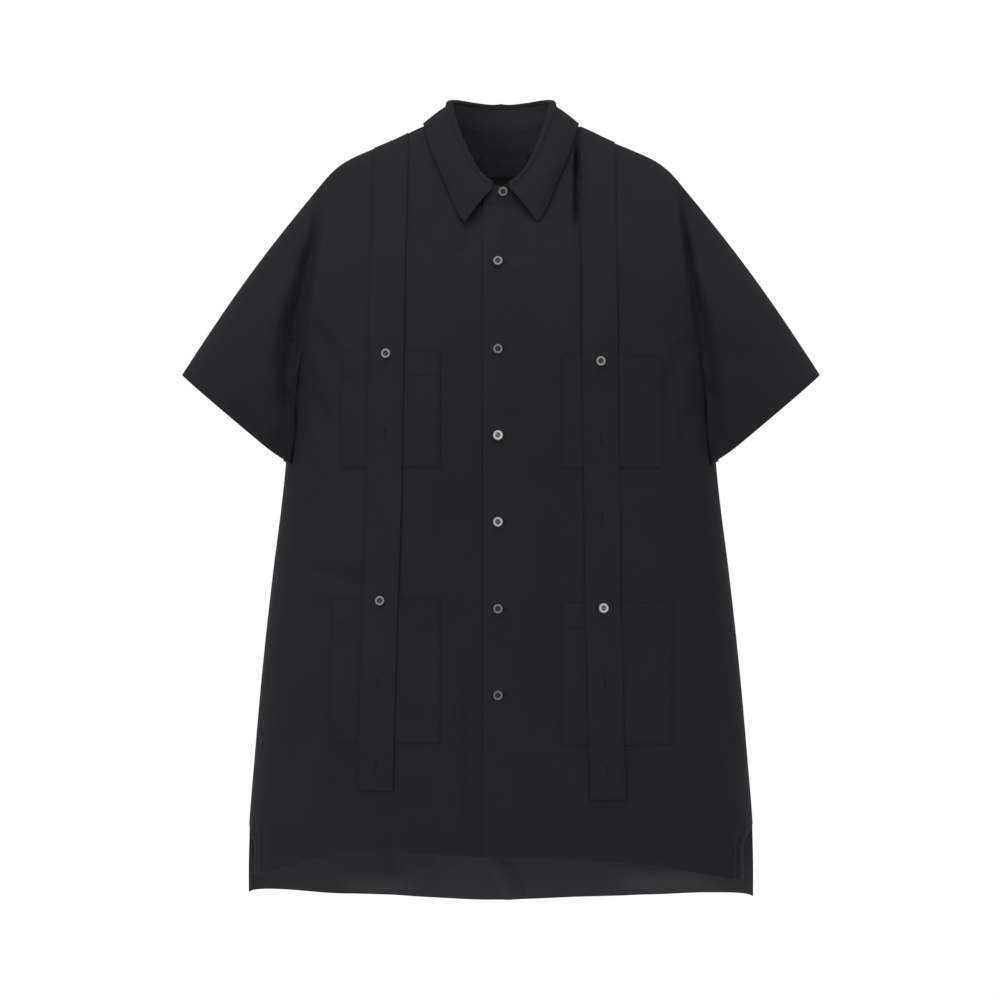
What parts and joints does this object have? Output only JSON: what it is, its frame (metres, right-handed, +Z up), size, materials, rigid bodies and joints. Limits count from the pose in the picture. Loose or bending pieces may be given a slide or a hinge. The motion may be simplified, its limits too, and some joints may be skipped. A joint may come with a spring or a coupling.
{
  "type": "short-sleeve shirt",
  "caption": "Long boxy short-sleeve button shirt with a point collar, vertical buttoned straps, patch pockets, side vents and a longer back, filled out and hollow.",
  "frame": {"origin": "middle of the neck, level with the collar's seam at the middle of the back, where the wearer's neck passes through", "axes": "+Z up, the front faces -Y, +X is on the viewer's right seen from the front"},
  "size_m": [0.7148, 0.3052, 0.9126],
  "materials": {
    "black_cloth": "plain-woven black shirting, matt with a faint sheen",
    "label_satin": "black woven satin label with nothing on it",
    "grey_button": "polished grey shell-like buttons with a pale rim"
  },
  "bodies": {
    "root": {"front_right": "black_cloth", "front_left": "black_cloth", "back": "black_cloth", "sleeve_right": "black_cloth", "sleeve_left": "black_cloth", "collar_stand": "black_cloth", "collar_leaf": "black_cloth", "strap_right": "black_cloth", "strap_left": "black_cloth", "pocket_chest_right": "black_cloth", "pocket_chest_left": "black_cloth", "pocket_lower_right": "black_cloth", "pocket_lower_left": "black_cloth", "label": "label_satin", "button_collar": "grey_button", "button_front_1": "grey_button", "button_front_2": "grey_button", "button_front_3": "grey_button", "button_front_4": "grey_button", "button_front_5": "grey_button", "button_front_6": "grey_button", "button_strap_1": "grey_button", "button_strap_2": "grey_button", "button_strap_3": "grey_button", "button_strap_4": "grey_button"}
  },
  "joints": []
}
